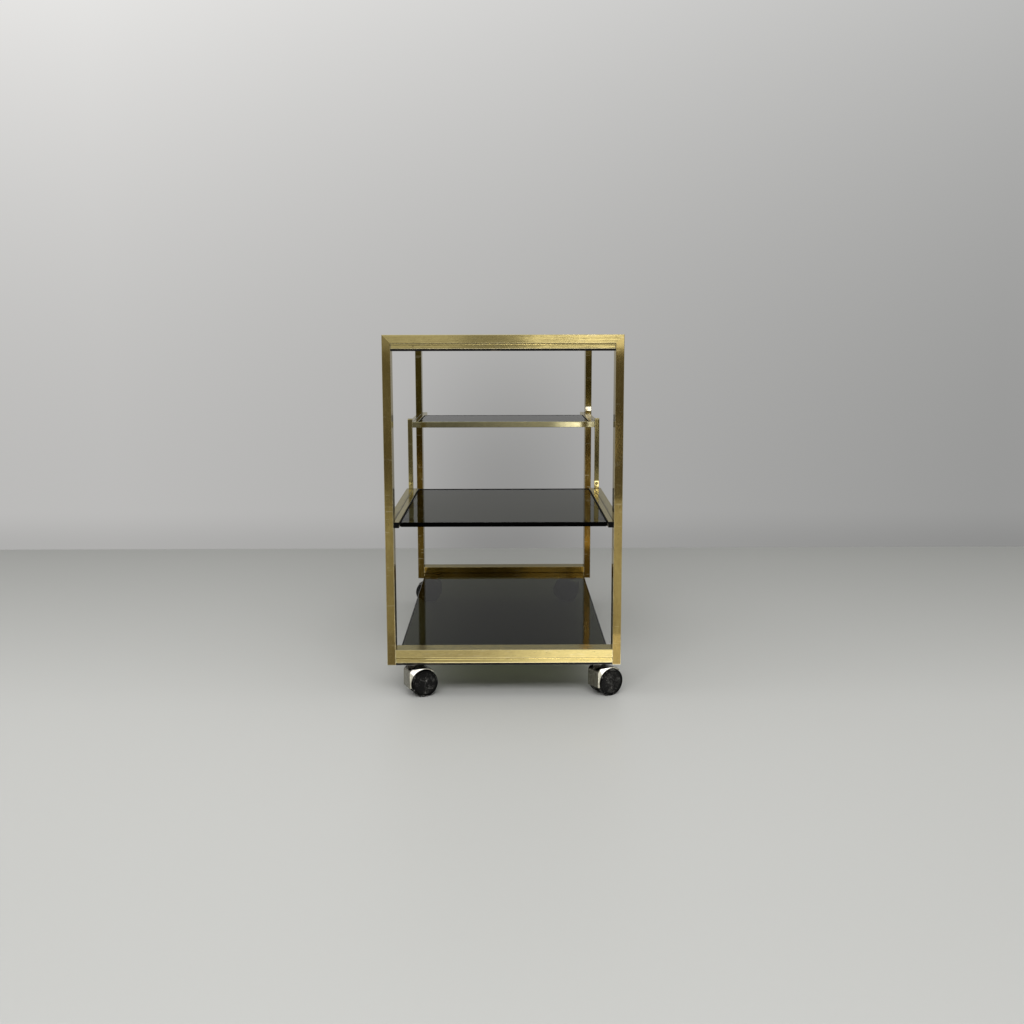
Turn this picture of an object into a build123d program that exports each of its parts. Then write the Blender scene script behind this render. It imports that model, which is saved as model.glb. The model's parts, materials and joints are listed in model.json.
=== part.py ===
from build123d import *
import os
from math import cos, sin, radians

os.makedirs("parts", exist_ok=True)

# Bar cart: two end frames of rectangular brass tube, stepped side rails between them with a
# square tube brazed along their inner side, four smoked glass shelves and four hooded casters.
# Millimetres. X is the cart's width, Y its length (front at -Y), Z is up from the floor.
# The origin is on the floor under the middle of the cart.

# Overall size
cart_width = 420.0
cart_length = 790.0
cart_height = 650.0
caster_height = 62.0            # floor to the underside of the end frames

# End frames: posts and rails of one rectangular tube
post_face = 15.0                # width seen from the end
post_depth = 35.0               # along the cart
rail_height = 15.0
frame_wall = 1.5
frame_round = 0.8               # rounded long edges of the tube

# Bar and ledge under each end rail
bar_height = 9.0
bar_wall = 2.0
groove_height = 1.2             # shadow line between rail and bar
groove_depth = 1.2
bead_height = 1.4               # left standing between the shadow line and the fine groove
fine_groove_height = 0.7
fine_groove_depth = 0.6
bar_end_gap = 0.3
ledge_thickness = 4.0
ledge_reach = 12.0              # how far the ledge goes in under the glass
ledge_setback = 0.5

# Glass plates
glass_thickness = 8.0
glass_arris = 1.0               # ground and polished edges
end_glass_side_gap = 2.5        # between the top and bottom plates and the posts' inner sides
shelf_side_gap = 3.0            # between an inner shelf and its rail
glass_end_gap = 1.5
strip_thickness = 1.0           # rubber strips on the ledges
strip_width = 8.0
strip_end_gap = 15.0

# Stepped side rails, with a shelf rail of square tube brazed along the inner side of each
side_rail_height = 10.0
shelf_rail_width = 10.0
side_wall = 1.2
side_round = 0.8
lower_rail_top = 322.0
upper_rail_top = 465.0
middle_glass_length = 445.0
upper_glass_length = 206.0
plug_cap = 1.5
plug_depth = 8.0
plug_gap = 0.1                  # slip fit of plugs and blocks in their tubes
plug_rib_width = 2.0            # raised rib down the middle of a plug's face
plug_rib_height = 0.4

# Risers and the cross rail between them
riser_width = 10.0
riser_top = 473.0
riser_setback = 455.0           # front plane of the cart to the front of the risers
riser_cap = 1.5
foot_block_height = 20.0
foot_screw_height = 11.0        # above the lower rail
foot_screw_shank = 3.5
foot_screw_head = 7.0
foot_screw_dome = 2.6
cross_rail_height = 12.0

# Tabs that carry the inner shelves
tab_thickness = 2.0
tab_length = 30.0
tab_reach = 20.0                # beyond the inner side of the shelf rail
tab_seat = 9.0                  # brazed under the shelf rail
tab_corner = 5.0
pad_diameter = 11.0
pad_inset = 2.5                 # from the edge of the glass to the pad
lower_tab_count = 3
lower_tab_first = 65.0          # front plane to the middle of the first tab
lower_tab_pitch = 165.0
upper_tab_count = 2
upper_tab_first = 45.0          # back of the riser to the middle of the first tab
upper_tab_pitch = 130.0

# Plugs in the feet of the posts
post_plug_height = 8.0

# Casters
caster_inset = 41.0             # outer side of the cart to the stem
front_left_turn = 24.0          # degrees that each caster stands turned from crosswise
front_right_turn = 32.0
trail = 20.0                    # stem to wheel axle
wheel_diameter = 50.0
twin_width = 38.0               # over both wheels
wheel_side_gap = 0.3
wheel_rim = 4.5
wheel_hub_diameter = 16.0
wheel_skin = 3.4                # thickness of the wheel's outer disc
disc_recess = 0.6
disc_lip = 3.0
tread_round = 1.5
axle_diameter = 6.0
running_gap = 0.05              # radial clearance of the running fits
axle_end_gap = 0.3
hood_web = 11.0                 # between the two wheels
hood_width = 32.0
hood_tyre_gap = 1.0
hood_crown = 2.0                # shell thickness over the tyres
hood_back_wall = 3.0
hood_corner = 8.0
hood_skirt = 18.0               # lower edge of the hood above the floor
hood_nose_angle = 42.0          # how far the crown reaches past the top of the wheels
hood_hub_radius = 9.0
hood_edge_round = 1.0
hood_bearing_gap = 1.5          # under the stem's flange
neck_diameter = 16.0
neck_taper = 8.0                # degrees
neck_sink = 5.0                 # how far the neck runs down into the hood
stem_diameter = 8.0
stem_foot = 30.0                # lower end of the stem above the floor
stem_thread_length = 10.0
flange_diameter = 26.0
flange_thickness = 2.5
ring_height = 2.0               # spring ring near the stem's lower end
ring_lift = 3.0
ring_diameter = 8.8
ring_opening = 2.2
ring_groove_diameter = 6.6
ring_pocket_diameter = 9.6
ring_pocket_height = 4.0
bush_diameter = 12.0
bush_fit = 0.05

# Worked out from the sizes above
half_width = cart_width / 2
half_length = cart_length / 2
inner_half = half_width - post_face
post_middle_x = half_width - post_face / 2
post_middle_y = half_length - post_depth / 2
stack_height = rail_height + bar_height + ledge_thickness
frame_height = cart_height - caster_height
top_stack_foot = cart_height - stack_height
bottom_stack_foot = caster_height
glass_half_length = half_length - post_depth - glass_end_gap
front_plane = -half_length
riser_front = front_plane + riser_setback
riser_back = riser_front + riser_width
riser_middle_y = (riser_front + riser_back) / 2
shelf_rail_inner = inner_half - shelf_rail_width
shelf_rail_middle = inner_half - shelf_rail_width / 2
riser_middle_x = inner_half + riser_width / 2
lower_rail_foot = lower_rail_top - side_rail_height
upper_rail_foot = upper_rail_top - side_rail_height
cross_rail_middle = upper_rail_top - side_rail_height / 2
pad_thickness = side_rail_height - glass_thickness
axle_height = wheel_diameter / 2
pocket_radius = wheel_diameter / 2 + hood_tyre_gap

ends = (("front", -1), ("back", 1))
sides = (("left", -1), ("right", 1))
levels = (("top", top_stack_foot), ("bottom", bottom_stack_foot))


# Posts: tube with its top end mitred to the top rail

for end_name, end in ends:
    for side_name, side in sides:
        with BuildPart() as post:
            with BuildSketch(Plane.XY.offset(caster_height)):
                with Locations((side * post_middle_x, end * post_middle_y)):
                    RectangleRounded(post_face, post_depth, frame_round)
                    Rectangle(post_face - 2 * frame_wall, post_depth - 2 * frame_wall, mode=Mode.SUBTRACT)
            extrude(amount=frame_height)
            mitre = Plane(
                origin=(side * half_width, 0, cart_height),
                z_dir=(-side * rail_height, 0, post_face),
            )
            split(bisect_by=mitre, keep=Keep.BOTTOM)
        post.part.label = f"{end_name}_{side_name}_post"
        export_step(post.part, f"parts/{end_name}_{side_name}_post.step")


# Top rails: the same tube across the posts, mitred at both ends

for end_name, end in ends:
    with BuildPart() as top_rail:
        with BuildSketch(Plane.YZ.offset(-half_width)):
            with Locations((end * post_middle_y, cart_height - rail_height / 2)):
                RectangleRounded(post_depth, rail_height, frame_round)
                Rectangle(post_depth - 2 * frame_wall, rail_height - 2 * frame_wall, mode=Mode.SUBTRACT)
        extrude(amount=cart_width)
        for side_name, side in sides:
            mitre = Plane(
                origin=(side * half_width, 0, cart_height),
                z_dir=(-side * rail_height, 0, post_face),
            )
            split(bisect_by=mitre, keep=Keep.TOP)
    top_rail.part.label = f"{end_name}_top_rail"
    export_step(top_rail.part, f"parts/{end_name}_top_rail.step")


# Bottom rails: butted between the posts

for end_name, end in ends:
    with BuildPart() as bottom_rail:
        with BuildSketch(Plane.YZ.offset(-inner_half)):
            with Locations((end * post_middle_y, bottom_stack_foot + stack_height - rail_height / 2)):
                RectangleRounded(post_depth, rail_height, frame_round)
                Rectangle(post_depth - 2 * frame_wall, rail_height - 2 * frame_wall, mode=Mode.SUBTRACT)
        extrude(amount=2 * inner_half)
    bottom_rail.part.label = f"{end_name}_bottom_rail"
    export_step(bottom_rail.part, f"parts/{end_name}_bottom_rail.step")


# Bars: a flat tube under each rail, rebated along its upper edges for the shadow line

for end_name, end in ends:
    for level_name, stack_foot in levels:
        bar_foot = stack_foot + ledge_thickness
        bar_middle = bar_foot + bar_height / 2
        with BuildPart() as bar:
            with BuildSketch(Plane.YZ.offset(-inner_half + bar_end_gap)):
                with Locations((end * post_middle_y, bar_middle)):
                    Rectangle(post_depth, bar_height)
                    Rectangle(post_depth - 2 * bar_wall, bar_height - 2 * bar_wall, mode=Mode.SUBTRACT)
                for edge in (-1, 1):
                    with Locations((
                        end * post_middle_y + edge * (post_depth - groove_depth) / 2,
                        bar_foot + bar_height - groove_height / 2,
                    )):
                        Rectangle(groove_depth, groove_height, mode=Mode.SUBTRACT)
                    with Locations((
                        end * post_middle_y + edge * (post_depth - fine_groove_depth) / 2,
                        bar_foot + bar_height - groove_height - bead_height - fine_groove_height / 2,
                    )):
                        Rectangle(fine_groove_depth, fine_groove_height, mode=Mode.SUBTRACT)
            extrude(amount=2 * (inner_half - bar_end_gap))
            if level_name == "bottom":
                with BuildSketch(Plane.XY.offset(bar_foot)):
                    with Locations(*[(side * (half_width - caster_inset), end * post_middle_y)
                                     for side_name, side in sides]):
                        Circle(bush_diameter / 2 + bush_fit)
                extrude(amount=bar_height - bar_wall, mode=Mode.SUBTRACT)
        bar.part.label = f"{end_name}_{level_name}_bar"
        export_step(bar.part, f"parts/{end_name}_{level_name}_bar.step")


# Ledges: black flats that close the stack and reach in under the glass

for end_name, end in ends:
    for level_name, stack_foot in levels:
        ledge_depth = post_depth - ledge_setback + ledge_reach
        ledge_middle = half_length - ledge_setback - ledge_depth / 2
        with BuildPart() as ledge:
            with BuildSketch(Plane.XY.offset(stack_foot)):
                with Locations((0, end * (half_length - ledge_setback - (post_depth - ledge_setback) / 2))):
                    Rectangle(2 * inner_half, post_depth - ledge_setback)
                with Locations((0, end * ledge_middle)):
                    Rectangle(2 * (inner_half - end_glass_side_gap), ledge_depth)
                if level_name == "bottom":
                    with Locations(*[(side * (half_width - caster_inset), end * post_middle_y)
                                     for side_name, side in sides]):
                        Circle(bush_diameter / 2 + bush_fit, mode=Mode.SUBTRACT)
            extrude(amount=ledge_thickness)
        ledge.part.label = f"{end_name}_{level_name}_ledge"
        export_step(ledge.part, f"parts/{end_name}_{level_name}_ledge.step")


# Rubber strips on the ledges under the top and the bottom glass

with BuildPart() as ledge_strips:
    for level_name, stack_foot in levels:
        with BuildSketch(Plane.XY.offset(stack_foot + ledge_thickness)):
            for end_name, end in ends:
                with Locations((0, end * (half_length - post_depth - ledge_reach / 2))):
                    Rectangle(2 * (inner_half - strip_end_gap), strip_width)
        extrude(amount=strip_thickness)
ledge_strips.part.label = "ledge_strips"
export_step(ledge_strips.part, "parts/ledge_strips.step")


# Top and bottom glass: plates between the end rails

for level_name, stack_foot in levels:
    with BuildPart() as end_glass:
        with BuildSketch(Plane.XY.offset(stack_foot + ledge_thickness + strip_thickness)):
            Rectangle(2 * (inner_half - end_glass_side_gap), 2 * glass_half_length)
        extrude(amount=glass_thickness)
        chamfer(end_glass.faces().filter_by(Axis.Z).edges(), length=glass_arris)
    end_glass.part.label = f"{level_name}_glass"
    export_step(end_glass.part, f"parts/{level_name}_glass.step")


# Inner shelves: plates between the shelf rails, with ground and polished edges

middle_glass_middle = front_plane + middle_glass_length / 2
upper_glass_middle = riser_back + glass_end_gap + upper_glass_length / 2
shelf_width = 2 * (shelf_rail_inner - shelf_side_gap)
shelves = (
    ("middle_glass", lower_rail_top, middle_glass_middle, middle_glass_length),
    ("upper_glass", upper_rail_top, upper_glass_middle, upper_glass_length),
)

for shelf_name, shelf_top, shelf_middle, shelf_length in shelves:
    with BuildPart() as shelf:
        with BuildSketch(Plane.XY.offset(shelf_top - glass_thickness)):
            with Locations((0, shelf_middle)):
                Rectangle(shelf_width, shelf_length)
        extrude(amount=glass_thickness)
        chamfer(shelf.faces().filter_by(Axis.Z).edges(), length=glass_arris)
    shelf.part.label = shelf_name
    export_step(shelf.part, f"parts/{shelf_name}.step")


# Lower side rails: tube as wide as the posts, from the back of the front post to the riser

for side_name, side in sides:
    with BuildPart() as lower_rail:
        with BuildSketch(Plane.XZ.offset(half_length - post_depth)):
            with Locations((side * post_middle_x, lower_rail_top - side_rail_height / 2)):
                RectangleRounded(post_face, side_rail_height, side_round)
                Rectangle(post_face - 2 * side_wall, side_rail_height - 2 * side_wall, mode=Mode.SUBTRACT)
        extrude(amount=-(riser_back - front_plane - post_depth - plug_cap))
    lower_rail.part.label = f"{side_name}_lower_rail"
    export_step(lower_rail.part, f"parts/{side_name}_lower_rail.step")


# Upper side rails: tube as wide as the risers, from the riser to the back post

for side_name, side in sides:
    with BuildPart() as upper_rail:
        with BuildSketch(Plane.XZ.offset(-riser_back)):
            with Locations((side * riser_middle_x, cross_rail_middle)):
                RectangleRounded(riser_width, side_rail_height, side_round)
                Rectangle(riser_width - 2 * side_wall, side_rail_height - 2 * side_wall, mode=Mode.SUBTRACT)
        extrude(amount=-(half_length - post_depth - riser_back))
    upper_rail.part.label = f"{side_name}_upper_rail"
    export_step(upper_rail.part, f"parts/{side_name}_upper_rail.step")


# Shelf rails: square tube along the inner side of the side rails, past the posts to the cart's end

shelf_rail_runs = (
    ("lower", lower_rail_top, front_plane + plug_cap, riser_back - plug_cap),
    ("upper", upper_rail_top, riser_back, half_length - plug_cap),
)

for run_name, run_top, run_start, run_end in shelf_rail_runs:
    with BuildPart() as shelf_rails:
        with BuildSketch(Plane.XZ.offset(-run_start)):
            with Locations(*[(side * shelf_rail_middle, run_top - side_rail_height / 2)
                             for side_name, side in sides]):
                RectangleRounded(shelf_rail_width, side_rail_height, side_round)
                Rectangle(
                    shelf_rail_width - 2 * side_wall,
                    side_rail_height - 2 * side_wall,
                    mode=Mode.SUBTRACT,
                )
        extrude(amount=-(run_end - run_start))
    shelf_rails.part.label = f"{run_name}_shelf_rails"
    export_step(shelf_rails.part, f"parts/{run_name}_shelf_rails.step")


# Black plugs: ribbed caps on the rails' open ends with a spigot inside each tube
# Each is (middle across, tube width, level, end plane of the tube, way it faces)

spigot_height = side_rail_height - 2 * side_wall - 2 * plug_gap
lower_level = lower_rail_top - side_rail_height / 2
plug_sets = (
    ("lower", (
        (shelf_rail_middle, shelf_rail_width, lower_level, front_plane + plug_cap, -1),
        (shelf_rail_middle, shelf_rail_width, lower_level, riser_back - plug_cap, 1),
        (post_middle_x, post_face, lower_level, riser_back - plug_cap, 1),
    )),
    ("upper", (
        (shelf_rail_middle, shelf_rail_width, cross_rail_middle, half_length - plug_cap, 1),
    )),
)

for set_name, plugs in plug_sets:
    with BuildPart() as rail_plugs:
        for middle, tube_width, level, tube_end, way in plugs:
            for side_name, side in sides:
                with BuildSketch(Plane.XZ.offset(-tube_end)):
                    with Locations((side * middle, level)):
                        RectangleRounded(tube_width, side_rail_height, side_round)
                extrude(amount=-way * (plug_cap - plug_rib_height))
                with BuildSketch(Plane.XZ.offset(-tube_end - way * (plug_cap - plug_rib_height))):
                    with Locations((side * middle, level)):
                        Rectangle(plug_rib_width, side_rail_height - 2 * side_round)
                extrude(amount=-way * plug_rib_height)
                with BuildSketch(Plane.XZ.offset(-tube_end)):
                    with Locations((side * middle, level)):
                        Rectangle(tube_width - 2 * side_wall - 2 * plug_gap, spigot_height)
                extrude(amount=way * plug_depth)
    rail_plugs.part.label = f"{set_name}_rail_plugs"
    export_step(rail_plugs.part, f"parts/{set_name}_rail_plugs.step")


# Risers: square tube standing on the lower rail, with a cross hole for the foot screw

for side_name, side in sides:
    with BuildPart() as riser:
        with BuildSketch(Plane.XY.offset(lower_rail_top)):
            with Locations((side * riser_middle_x, riser_middle_y)):
                RectangleRounded(riser_width, riser_width, side_round)
                Rectangle(riser_width - 2 * side_wall, riser_width - 2 * side_wall, mode=Mode.SUBTRACT)
        extrude(amount=riser_top - riser_cap - lower_rail_top)
        with BuildSketch(Plane.XZ.offset(-riser_front)):
            with Locations((side * riser_middle_x, lower_rail_top + foot_screw_height)):
                Circle(foot_screw_shank / 2 + bush_fit)
        extrude(amount=-side_wall, mode=Mode.SUBTRACT)
    riser.part.label = f"{side_name}_riser"
    export_step(riser.part, f"parts/{side_name}_riser.step")


# Riser caps: low pyramid caps on the two risers

with BuildPart() as riser_caps:
    with BuildSketch(Plane.XY.offset(riser_top - riser_cap)):
        with Locations(*[(side * riser_middle_x, riser_middle_y) for side_name, side in sides]):
            RectangleRounded(riser_width, riser_width, side_round)
    extrude(amount=riser_cap / 2)
    with BuildSketch(Plane.XY.offset(riser_top - riser_cap / 2)):
        with Locations(*[(side * riser_middle_x, riser_middle_y) for side_name, side in sides]):
            Rectangle(riser_width - 2 * side_round, riser_width - 2 * side_round)
    extrude(amount=riser_cap / 2)
riser_caps.part.label = "riser_caps"
export_step(riser_caps.part, "parts/riser_caps.step")


# Foot blocks inside the risers, tapped for the foot screws

block_width = riser_width - 2 * side_wall - 2 * plug_gap

with BuildPart() as riser_foot_blocks:
    with BuildSketch(Plane.XY.offset(lower_rail_top)):
        with Locations(*[(side * riser_middle_x, riser_middle_y) for side_name, side in sides]):
            Rectangle(block_width, block_width)
    extrude(amount=foot_block_height)
    with BuildSketch(Plane.XZ.offset(-riser_front)):
        with Locations(*[(side * riser_middle_x, lower_rail_top + foot_screw_height)
                         for side_name, side in sides]):
            Circle(foot_screw_shank / 2 + bush_fit)
    extrude(amount=-riser_width, mode=Mode.SUBTRACT)
riser_foot_blocks.part.label = "riser_foot_blocks"
export_step(riser_foot_blocks.part, "parts/riser_foot_blocks.step")


# Foot screws: dome heads on the front of the risers

dome_radius = (foot_screw_head ** 2 / 4 + foot_screw_dome ** 2) / (2 * foot_screw_dome)
screw_length = riser_width - side_wall

with BuildPart() as riser_screws:
    for side_name, side in sides:
        screw_side = Plane(
            origin=(side * riser_middle_x, riser_front, lower_rail_top + foot_screw_height),
            x_dir=(0, -1, 0),
            z_dir=(-1, 0, 0),
        )
        with BuildSketch(screw_side):
            with BuildLine():
                head_rim = (0, foot_screw_head / 2)
                Polyline(
                    (foot_screw_dome, 0), (-screw_length, 0), (-screw_length, foot_screw_shank / 2),
                    (0, foot_screw_shank / 2), head_rim,
                )
                RadiusArc(head_rim, (foot_screw_dome, 0), dome_radius)
            make_face()
        revolve(axis=Axis(screw_side.origin, screw_side.x_dir))
riser_screws.part.label = "riser_screws"
export_step(riser_screws.part, "parts/riser_screws.step")


# Cross rail between the risers, in front of the upper glass

with BuildPart() as cross_rail:
    with BuildSketch(Plane.YZ.offset(-(riser_middle_x - riser_width / 2))):
        with Locations((riser_middle_y, cross_rail_middle)):
            RectangleRounded(riser_width, cross_rail_height, side_round)
            Rectangle(riser_width - 2 * side_wall, cross_rail_height - 2 * side_wall, mode=Mode.SUBTRACT)
    extrude(amount=2 * riser_middle_x - riser_width)
cross_rail.part.label = "cross_rail"
export_step(cross_rail.part, "parts/cross_rail.step")


# Tabs under the shelf rails and the pads that the inner shelves lie on

lower_tab_places = [front_plane + lower_tab_first + n * lower_tab_pitch for n in range(lower_tab_count)]
upper_tab_places = [riser_back + upper_tab_first + n * upper_tab_pitch for n in range(upper_tab_count)]
tab_groups = ((lower_rail_foot, lower_tab_places), (upper_rail_foot, upper_tab_places))
tab_outer = shelf_rail_inner + tab_seat
tab_inner = shelf_rail_inner - tab_reach
pad_middle = shelf_width / 2 - pad_inset - pad_diameter / 2

with BuildPart() as shelf_tabs:
    for seat_height, places in tab_groups:
        with BuildSketch(Plane.XY.offset(seat_height - tab_thickness)):
            with Locations(*[(side * (tab_outer + tab_inner) / 2, place)
                             for side_name, side in sides for place in places]):
                RectangleRounded(tab_outer - tab_inner, tab_length, tab_corner)
        extrude(amount=tab_thickness)
shelf_tabs.part.label = "shelf_tabs"
export_step(shelf_tabs.part, "parts/shelf_tabs.step")

with BuildPart() as shelf_pads:
    for seat_height, places in tab_groups:
        with BuildSketch(Plane.XY.offset(seat_height)):
            with Locations(*[(side * pad_middle, place) for side_name, side in sides for place in places]):
                Circle(pad_diameter / 2)
        extrude(amount=pad_thickness)
shelf_pads.part.label = "shelf_pads"
export_step(shelf_pads.part, "parts/shelf_pads.step")


# Plugs in the feet of the posts

with BuildPart() as post_plugs:
    with BuildSketch(Plane.XY.offset(caster_height)):
        with Locations(*[(side * post_middle_x, end * post_middle_y)
                         for end_name, end in ends for side_name, side in sides]):
            Rectangle(post_face - 2 * frame_wall - 2 * plug_gap, post_depth - 2 * frame_wall - 2 * plug_gap)
    extrude(amount=post_plug_height)
post_plugs.part.label = "post_plugs"
export_step(post_plugs.part, "parts/post_plugs.step")


# Casters: each stands turned about its stem, the back pair as the front pair seen from behind

casters = (
    ("front_left", -1, -1, front_left_turn),
    ("front_right", 1, -1, front_right_turn),
    ("back_left", -1, 1, front_right_turn + 180),
    ("back_right", 1, 1, front_left_turn + 180),
)
stem_x = half_width - caster_inset
bush_height = ledge_thickness + bar_height - bar_wall

with BuildPart() as caster_bushes:
    with BuildSketch(Plane.XY.offset(caster_height)):
        with Locations(*[(side * stem_x, end * post_middle_y) for name, side, end, turn in casters]):
            Circle(bush_diameter / 2)
            Circle(stem_diameter / 2 + bush_fit, mode=Mode.SUBTRACT)
    extrude(amount=bush_height)
caster_bushes.part.label = "caster_bushes"
export_step(caster_bushes.part, "parts/caster_bushes.step")

ring_foot = stem_foot + ring_lift

with BuildPart() as grip_rings:
    with BuildSketch(Plane.XY.offset(ring_foot)):
        with Locations(*[(side * stem_x, end * post_middle_y) for name, side, end, turn in casters]):
            Circle(ring_diameter / 2)
            Circle(ring_groove_diameter / 2 + running_gap, mode=Mode.SUBTRACT)
            Rectangle(ring_opening, ring_diameter, align=(Align.CENTER, Align.MIN), mode=Mode.SUBTRACT)
    extrude(amount=ring_height - 2 * running_gap)
grip_rings.part.label = "grip_rings"
export_step(grip_rings.part, "parts/grip_rings.step")

wheel_inner = hood_web / 2 + wheel_side_gap
wheel_outer = twin_width / 2
wheel_radius = wheel_diameter / 2
bore_radius = axle_diameter / 2 + running_gap
bore_end = wheel_outer - wheel_skin + disc_recess
axle_half = bore_end - axle_end_gap
crown_radius = pocket_radius + hood_crown
hood_back = trail - pocket_radius - hood_back_wall
hood_top = axle_height + crown_radius
neck_foot = hood_top - neck_sink
neck_top = caster_height - flange_thickness - hood_bearing_gap
corner_tolerance = 0.01
nose_x = trail + crown_radius * sin(radians(hood_nose_angle))
nose_z = axle_height + crown_radius * cos(radians(hood_nose_angle))

for name, side, end, turn in casters:
    stem_spot = (side * stem_x, end * post_middle_y, 0)
    trail_dir = (cos(radians(turn)), sin(radians(turn)), 0)
    axle_dir = (sin(radians(turn)), -cos(radians(turn)), 0)
    side_plane = Plane(origin=stem_spot, x_dir=trail_dir, z_dir=axle_dir)
    axle_line = Axis((stem_spot[0] + trail * trail_dir[0], stem_spot[1] + trail * trail_dir[1], axle_height),
                     axle_dir)

    # Stem: thread, flange and pin turned in one piece, with a groove for the spring ring
    with BuildPart() as stem:
        with BuildSketch(Plane.XY.offset(stem_foot)):
            with Locations(stem_spot[:2]):
                Circle(stem_diameter / 2)
        extrude(amount=caster_height + stem_thread_length - stem_foot)
        with BuildSketch(Plane.XY.offset(caster_height - flange_thickness)):
            with Locations(stem_spot[:2]):
                Circle(flange_diameter / 2)
        extrude(amount=flange_thickness)
        with BuildSketch(Plane.XY.offset(ring_foot - running_gap)):
            with Locations(stem_spot[:2]):
                Circle(stem_diameter / 2 + running_gap)
                Circle(ring_groove_diameter / 2, mode=Mode.SUBTRACT)
        extrude(amount=ring_height, mode=Mode.SUBTRACT)
    stem.part.label = f"{name}_stem"
    export_step(stem.part, f"parts/{name}_stem.step")

    # Hood: one casting with a crown over both tyres, a web between them and a neck for the stem
    with BuildSketch(side_plane, mode=Mode.PRIVATE) as hood_outline:
        with BuildLine():
            back_foot = (hood_back, hood_skirt)
            back_shoulder = (hood_back, hood_top - hood_corner)
            top_shoulder = (hood_back + hood_corner, hood_top)
            crown_top = (trail, hood_top)
            nose = (nose_x, nose_z)
            hub_front = (trail + hood_hub_radius, axle_height)
            hub_foot = (trail, axle_height - hood_hub_radius)
            Line(back_foot, back_shoulder)
            RadiusArc(back_shoulder, top_shoulder, hood_corner)
            Line(top_shoulder, crown_top)
            RadiusArc(crown_top, nose, crown_radius)
            Line(nose, hub_front)
            RadiusArc(hub_front, hub_foot, hood_hub_radius)
            Line(hub_foot, back_foot)
        make_face()
    with BuildPart() as hood:
        with BuildSketch(side_plane):
            add(hood_outline.sketch_local)
            with Locations((trail, axle_height)):
                Circle(pocket_radius, mode=Mode.SUBTRACT)
        extrude(amount=hood_width / 2, both=True)
        rim_edges = hood.faces().filter_by(side_plane).edges()
        outer_edges = rim_edges.filter_by(
            lambda edge: min(
                (corner.center() - axle_line.position).cross(axle_line.direction).length
                for corner in edge.vertices()
            ) > crown_radius - corner_tolerance
        )
        fillet(outer_edges, radius=hood_edge_round)
        with BuildSketch(side_plane):
            add(hood_outline.sketch_local)
        extrude(amount=hood_web / 2, both=True)
        with BuildSketch(Plane.XY.offset(neck_foot)):
            with Locations(stem_spot[:2]):
                Circle(neck_diameter / 2)
        extrude(amount=neck_top - neck_foot, taper=neck_taper)
        with BuildSketch(Plane.XY.offset(stem_foot)):
            with Locations(stem_spot[:2]):
                Circle(stem_diameter / 2 + running_gap)
        extrude(amount=caster_height - stem_foot, mode=Mode.SUBTRACT)
        with BuildSketch(Plane.XY.offset(ring_foot + (ring_height - ring_pocket_height) / 2)):
            with Locations(stem_spot[:2]):
                Circle(ring_pocket_diameter / 2)
        extrude(amount=ring_pocket_height, mode=Mode.SUBTRACT)
        with BuildSketch(side_plane):
            with Locations((trail, axle_height)):
                Circle(axle_diameter / 2 + bush_fit)
        extrude(amount=hood_web, both=True, mode=Mode.SUBTRACT)
    hood.part.label = f"{name}_hood"
    export_step(hood.part, f"parts/{name}_hood.step")

    # Axle: a plain pin through the web
    with BuildPart() as axle:
        with BuildSketch(side_plane):
            with Locations((trail, axle_height)):
                Circle(axle_diameter / 2)
        extrude(amount=axle_half, both=True)
    axle.part.label = f"{name}_axle"
    export_step(axle.part, f"parts/{name}_axle.step")

    # Wheels: a hub, a rim and a thin outer disc turned about the axle
    for wheel_name, wheel_side in (("outer", 1), ("inner", -1)):
        wheel_plane = Plane(
            origin=(axle_line.position.X, axle_line.position.Y, axle_height),
            x_dir=(wheel_side * axle_dir[0], wheel_side * axle_dir[1], 0),
            z_dir=(-wheel_side * axle_dir[1], wheel_side * axle_dir[0], 0),
        )
        disc_inner = wheel_outer - wheel_skin
        with BuildPart() as wheel:
            with BuildSketch(wheel_plane):
                with BuildLine():
                    Polyline(
                        (wheel_inner, bore_radius),
                        (wheel_inner, wheel_hub_diameter / 2),
                        (disc_inner, wheel_hub_diameter / 2),
                        (disc_inner, wheel_radius - wheel_rim),
                        (wheel_inner, wheel_radius - wheel_rim),
                        (wheel_inner, wheel_radius - tread_round),
                        (wheel_inner + tread_round, wheel_radius),
                        (wheel_outer - tread_round, wheel_radius),
                        (wheel_outer, wheel_radius - tread_round),
                        (wheel_outer, wheel_radius - disc_lip),
                        (wheel_outer - disc_recess, wheel_radius - disc_lip - disc_recess),
                        (wheel_outer - disc_recess, 0),
                        (bore_end, 0),
                        (bore_end, bore_radius),
                        close=True,
                    )
                make_face()
            revolve(axis=axle_line)
        wheel.part.label = f"{name}_{wheel_name}_wheel"
        export_step(wheel.part, f"parts/{name}_{wheel_name}_wheel.step")
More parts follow.
